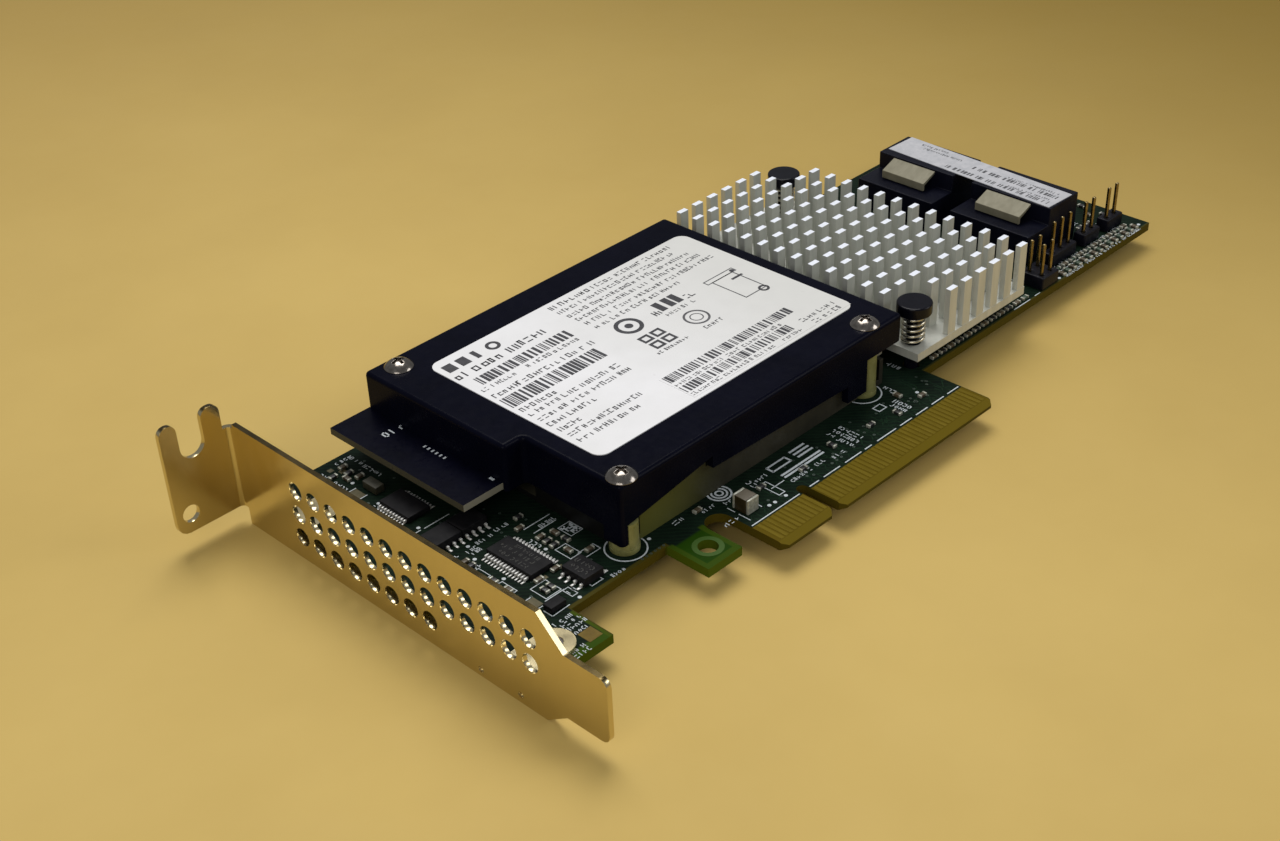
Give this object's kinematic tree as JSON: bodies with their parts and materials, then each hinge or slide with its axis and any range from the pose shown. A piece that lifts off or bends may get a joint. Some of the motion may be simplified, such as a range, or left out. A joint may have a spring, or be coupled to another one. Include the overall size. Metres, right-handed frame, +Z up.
{
  "type": "raid controller card",
  "caption": "Low-profile raid controller card with a battery backup module, pin-fin heat sink, drive sockets facing the far end and a perforated slot bracket.",
  "frame": {"origin": "where the key notch's centre line meets the connector edge, on the board's component face", "axes": "+X along the card from the slot bracket to the far end, +Y across it from the edge connector to the long back edge, +Z up out of the component face"},
  "size_m": [0.1803, 0.0821, 0.0226],
  "materials": {
    "solder_mask": "satin",
    "contact_gold": "satin",
    "bracket_nickel": "bright satin",
    "screw_steel": "bright",
    "cover_black": "satin",
    "label_white": "matte",
    "cell_wrap": "satin",
    "module_black": "satin",
    "tray_plastic": "translucent satin",
    "sink_aluminium": "satin",
    "chip_black": "matte",
    "thermal_grey": "matte",
    "push_black": "satin",
    "spring_steel": "bright",
    "socket_black": "satin",
    "latch_nickel": "satin",
    "header_black": "satin",
    "pin_gold": "bright",
    "lead_tin": "bright",
    "ceramic_tan": "matte"
  },
  "bodies": {
    "root": {"circuit_board": "solder_mask", "edge_contacts": "contact_gold", "tab_pads": "contact_gold", "bracket": "bracket_nickel", "bracket_screws": "screw_steel", "battery_cover": "cover_black", "battery_label": "label_white", "battery_cell": "cell_wrap", "battery_board": "module_black", "battery_tray": "tray_plastic", "standoffs": "tray_plastic", "battery_screws": "screw_steel", "heat_sink": "sink_aluminium", "processor": "chip_black", "thermal_pad": "thermal_grey", "push_pins": "push_black", "push_pin_springs": "spring_steel", "sas_housings": "socket_black", "sas_tongues": "socket_black", "sas_latches": "latch_nickel", "sas_label": "label_white", "header_bases": "header_black", "header_pins": "pin_gold", "driver_chip": "chip_black", "driver_leads": "lead_tin", "memory_chip": "chip_black", "memory_leads": "lead_tin", "small_chips": "chip_black", "small_chip_leads": "lead_tin", "ceramic_capacitor": "ceramic_tan", "ceramic_ends": "lead_tin", "transistor": "chip_black", "choke": "chip_black", "chip_capacitors": "ceramic_tan", "chip_resistors": "chip_black", "chip_terminals": "lead_tin"}
  },
  "joints": []
}
